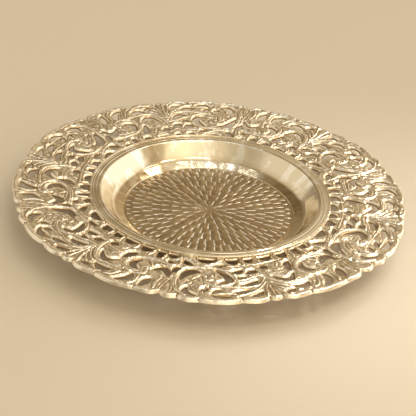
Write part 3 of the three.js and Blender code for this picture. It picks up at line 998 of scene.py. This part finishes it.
def weld(thing):
    """Joins vertices that lie on each other, and turns all faces outwards."""
    work = bmesh.new()
    work.from_mesh(thing.data)
    bmesh.ops.remove_doubles(work, verts=work.verts, dist=2e-6)
    bmesh.ops.recalc_face_normals(work, faces=work.faces)
    work.to_mesh(thing.data)
    work.free()


def build_wire(material):
    """A wire of two thin beads with a groove between them."""
    middle = FLANGE_R - WIRE_INSET
    profile = []
    for centre in (middle - BEAD_HALF, middle + BEAD_HALF):
        for t in np.linspace(180, 0, BEAD_POINTS):
            profile.append((
                centre + BEAD_HALF * math.cos(math.radians(t)),
                FLANGE_Z + BEAD_HEIGHT * math.sin(math.radians(t)),
            ))
    profile.append(profile[0])
    verts, faces = lathe(profile, DISH_SEGMENTS)
    thing = make_mesh("wire", verts, faces, [material], sharp=60)
    weld(thing)
    return thing


def build_foot(material):
    """Low ring, splayed a little, with rounded edges."""
    outer = MEDALLION_R - FOOT_INSET
    corners = [(outer + out, up) for out, up in FOOT_CORNERS]
    profile = []
    for i, radius in enumerate(FOOT_ROUNDS):
        after = corners[(i + 1) % len(corners)]
        profile += rounded(corners[i - 1], corners[i], after, radius, 4)
    profile.append(profile[0])
    verts, faces = lathe(profile, DISH_SEGMENTS)
    thing = make_mesh("foot", verts, faces, [material], sharp=50)
    weld(thing)
    return thing


def build_pieces():
    cast = cast_silver()
    back = back_silver()
    sheet = turned_silver("sheet_silver", (0.93, 0.88, 0.8), (0.79, 0.71, 0.57), 0.07, 0.18,
                          dark_tint=BOWL_FOOT_TINT)
    wire = turned_silver("wire_silver", (0.93, 0.87, 0.77), (0.8, 0.71, 0.56), 0.14, 0.3)
    foot = turned_silver("foot_silver", (0.84, 0.77, 0.64), (0.68, 0.59, 0.45), 0.28, 0.45)
    cut = turned_silver("cut_silver", (0.94, 0.92, 0.88), (0.84, 0.79, 0.71), 0.36, 0.52)
    dish = build_dish(sheet, matted_silver(), cut)
    settle(dish, "centre_dish")
    settle(build_wire(wire), "flange_wire")
    settle(build_foot(foot), "foot_ring")
    section, faces, marks, uneven, tarnish_and_shade = section_parts()
    for i in range(SECTIONS):
        verts = uneven_casting(section, uneven, 2 * i)
        turn = FIRST_ANGLE + i * SECTION_ANGLE
        placed = np.column_stack([turned_by(verts[:, :2], turn), verts[:, 2]])
        name = f"border_{i + 1}"
        thing = make_mesh(name, placed, faces, [cast, back], tarnish_and_shade=tarnish_and_shade, marks=marks,
                          sharp=55)
        settle(thing, f"border_section_{i + 1}")


def settle(thing, node):
    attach(thing, "root")
    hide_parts(node)


FLOOR_SIZE = 60
FLOOR_COLOUR = (0.68, 0.61, 0.52, 1)


def build_floor():
    bpy.ops.mesh.primitive_plane_add(size=FLOOR_SIZE)
    floor = bpy.context.object
    floor.name = "floor"
    material = bpy.data.materials.new("floor")
    material.use_nodes = True
    shader = material.node_tree.nodes["Principled BSDF"]
    shader.inputs["Base Color"].default_value = FLOOR_COLOUR
    shader.inputs["Roughness"].default_value = 0.6
    floor.data.materials.append(material)


def round_lamp(name, place, size, power, colour, toward=(0, 0, 0.02), spread=180):
    data = bpy.data.lights.new(name, "AREA")
    data.shape = "DISK"
    data.size = size
    data.energy = power
    data.color = colour
    light = bpy.data.objects.new(name, data)
    light.location = place
    data.spread = math.radians(spread)
    aim = Vector(toward) - Vector(place)
    light.rotation_mode = "QUATERNION"
    light.rotation_quaternion = aim.to_track_quat("-Z", "Y")
    bpy.context.scene.collection.objects.link(light)


def lobe(tree, way, toward, low, high):
    """1 round a direction of the world, and 0 away from it."""
    aim = Vector(toward).normalized()
    facing = add(tree, "VectorMath", {"operation": "DOT_PRODUCT"}, i0=way, i1=aim)
    ease = add(tree, "MapRange", {"interpolation_type": "SMOOTHSTEP"}, i0=facing.outputs["Value"])
    ease.inputs["From Min"].default_value = low
    ease.inputs["From Max"].default_value = high
    return ease.outputs["Result"]


KEY_LAMP = (0.5, -0.75, 1.9)
# Narrow lamps for the right of the border
WINDOW_LAMPS = [(0.8, 0.36, 1.15), (0.55, 0.72, 1.2), (0.85, -0.15, 1.25)]
WINDOW_TOWARD = (0.15, -0.06, 0.02)
# Small lamps that are mirrored in the band round the medallion
CEILING_LAMPS = [
    (0.4, 0.8, 2.0), (0.22, 0.74, 2.0), (0.04, 0.72, 2.0), (-0.17, 0.73, 2.0), (-0.43, 0.85, 2.0),
]
# The room's colour by height, from the level up to the zenith
ROOM = [
    (0.0, (0.54, 0.44, 0.3)), (0.3, (0.64, 0.51, 0.33)), (0.42, (0.53, 0.4, 0.24)),
    (0.52, (0.4, 0.3, 0.17)), (0.62, (0.35, 0.26, 0.145)), (0.8, (0.52, 0.4, 0.24)),
    (0.92, (0.78, 0.65, 0.44)), (1.0, (0.95, 0.84, 0.64)),
]
# Its lighter parts, each over the ones before: direction, cosine at its edge and where it is
# full, and colour. They are to the right, behind the camera, to the left, ahead and above.
LIGHT_PARTS = [
    ((0.84, 0.47, 0.27), 0.76, 0.93, (1.0, 0.93, 0.78, 1)),
    ((0.05, -0.64, 0.77), 0.6, 0.94, (1.1, 0.94, 0.66, 1)),
    ((-0.86, 0.1, 0.48), 0.7, 0.94, (1.46, 1.29, 0.98, 1)),
    ((0.144, 0.816, 0.559), 0.98, 0.9986, (0.59, 0.485, 0.325, 1)),
    ((0.0, 0.3, 0.954), 0.913, 0.99, (0.95, 0.91, 0.82, 1)),
]
# Strength of the whole room at two places from left to right
LEFT_SHARE = (-0.3, 0.62)
RIGHT_SHARE = (0.5, 1.56)


def build_lights():
    """A room with its light side to the right, and soft lamps."""
    round_lamp("key", KEY_LAMP, size=0.9, power=3, colour=(1.0, 0.94, 0.82))
    for number, place in enumerate(WINDOW_LAMPS):
        round_lamp(f"window_{number + 1}", place, size=0.3, power=0.048,
                   colour=(1.0, 0.95, 0.84), toward=WINDOW_TOWARD, spread=16)
    for number, place in enumerate(CEILING_LAMPS):
        round_lamp(f"ceiling_{number + 1}", place, size=0.07, power=0.16,
                   colour=(0.86, 0.94, 1.0))
    world = bpy.data.worlds.new("world")
    bpy.context.scene.world = world
    world.use_nodes = True
    tree = world.node_tree
    tree.nodes.clear()
    way = add(tree, "TexCoord").outputs["Generated"]
    height = add(tree, "SeparateXYZ", Vector=way).outputs["Z"]
    room = ramp(tree, height, ROOM)
    for toward, low, high, colour in LIGHT_PARTS:
        share = lobe(tree, way, toward, low, high)
        room = add(tree, "Mix", {"data_type": "RGBA"}, i0=share, i6=room, i7=colour).outputs[2]
    sideways = add(tree, "SeparateXYZ", Vector=way).outputs["X"]
    share = add(tree, "MapRange", i0=sideways, i1=LEFT_SHARE[0], i2=RIGHT_SHARE[0],
                i3=LEFT_SHARE[1], i4=RIGHT_SHARE[1])
    glow = add(tree, "Background", Color=room, Strength=share.outputs["Result"])
    out = add(tree, "OutputWorld")
    tree.links.new(glow.outputs[0], out.inputs["Surface"])


# Camera, as fitted to the photo's rim: distance and elevation over the mouth's middle, roll,
# focal length in pixels of the square photo, and where the mouth's middle falls in it.
PHOTO = 416
FOCAL = 1169.0
DISTANCE = 0.9
ELEVATION = 30.0
ROLL = 5.0
MIDDLE_RIGHT = 2.5
MIDDLE_UP = 16.1
MOUTH_Z = 20.6


def build_camera():
    data = bpy.data.cameras.new("camera")
    data.sensor_width = 36.0
    data.lens = FOCAL / PHOTO * data.sensor_width
    data.clip_start = 0.05
    data.clip_end = 50.0
    camera = bpy.data.objects.new("camera", data)
    bpy.context.scene.collection.objects.link(camera)
    tilt, roll = math.radians(ELEVATION), math.radians(ROLL)
    ahead = Vector((0, math.cos(tilt), -math.sin(tilt)))
    level = Vector((1, 0, 0))
    up = level.cross(ahead)
    right = level * math.cos(roll) + up * math.sin(roll)
    above = right.cross(ahead)
    place = Vector((0, 0, MOUTH_Z * MM)) - ahead * DISTANCE
    look = (ahead - right * MIDDLE_RIGHT / FOCAL - above * MIDDLE_UP / FOCAL).normalized()
    right = (right - look * right.dot(look)).normalized()
    above = right.cross(look)
    turn = Matrix((right, above, -look)).transposed()
    camera.matrix_world = Matrix.Translation(place) @ turn.to_4x4()
    bpy.context.scene.camera = camera


def main():
    build_pieces()
    build_floor()
    build_lights()
    build_camera()
    scene = bpy.context.scene
    scene.view_settings.view_transform = "Standard"


main()
